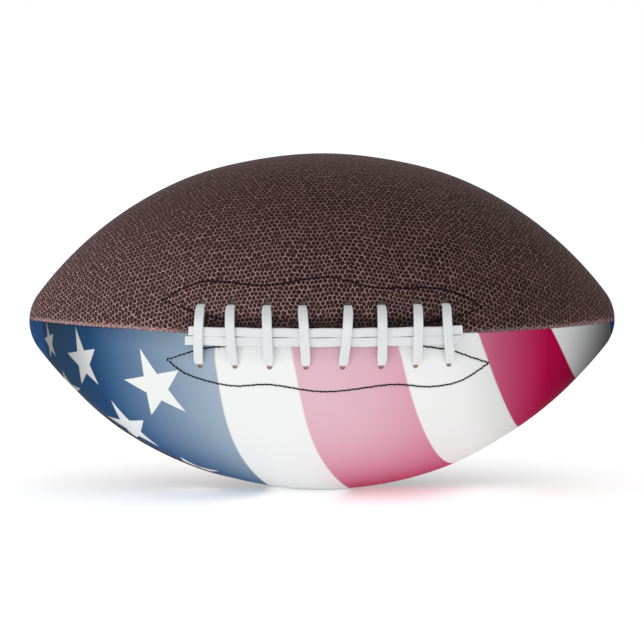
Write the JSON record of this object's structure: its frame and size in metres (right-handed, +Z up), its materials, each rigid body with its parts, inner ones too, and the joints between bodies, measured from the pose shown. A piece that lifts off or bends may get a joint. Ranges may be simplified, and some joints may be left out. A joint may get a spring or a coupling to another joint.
{
  "type": "american football",
  "caption": "Pointed oval ball of sewn pebbled panels with one smooth printed panel, a bladder and valve inside, and a flat white lace on the front seam.",
  "frame": {"origin": "the middle of the ball, half way along its length", "axes": "+X along the length from nose to nose, -Y out through the lacing, +Z up"},
  "size_m": [0.283, 0.1644, 0.1631],
  "materials": {
    "pebbled_leather": "pebbled, satin",
    "printed_leather": "smooth, printed, semi-gloss",
    "lining_cloth": "plain weave",
    "bladder_rubber": "matte",
    "valve_rubber": "matte",
    "lace": "ribbed, satin",
    "facing": "rough split leather",
    "tongue": "rough split leather",
    "seam_thread": "waxed",
    "facing_thread": "twisted"
  },
  "bodies": {
    "root": {"upper_front_panel": "pebbled_leather", "upper_rear_panel": "pebbled_leather", "lower_rear_panel": "pebbled_leather", "lower_front_panel": "printed_leather", "upper_front_lining": "lining_cloth", "upper_rear_lining": "lining_cloth", "lower_rear_lining": "lining_cloth", "lower_front_lining": "lining_cloth", "bladder": "bladder_rubber", "valve_stem": "valve_rubber", "valve_core": "valve_rubber", "crossing_lace": "lace", "upper_lace_run": "lace", "lower_lace_run": "lace", "upper_lace_facing": "facing", "lower_lace_facing": "facing", "lace_tongue": "tongue", "top_seam_thread": "seam_thread", "rear_seam_thread": "seam_thread", "bottom_seam_thread": "seam_thread", "left_front_seam_thread": "seam_thread", "right_front_seam_thread": "seam_thread", "upper_facing_stitching": "facing_thread", "lower_facing_stitching": "facing_thread"}
  },
  "joints": []
}
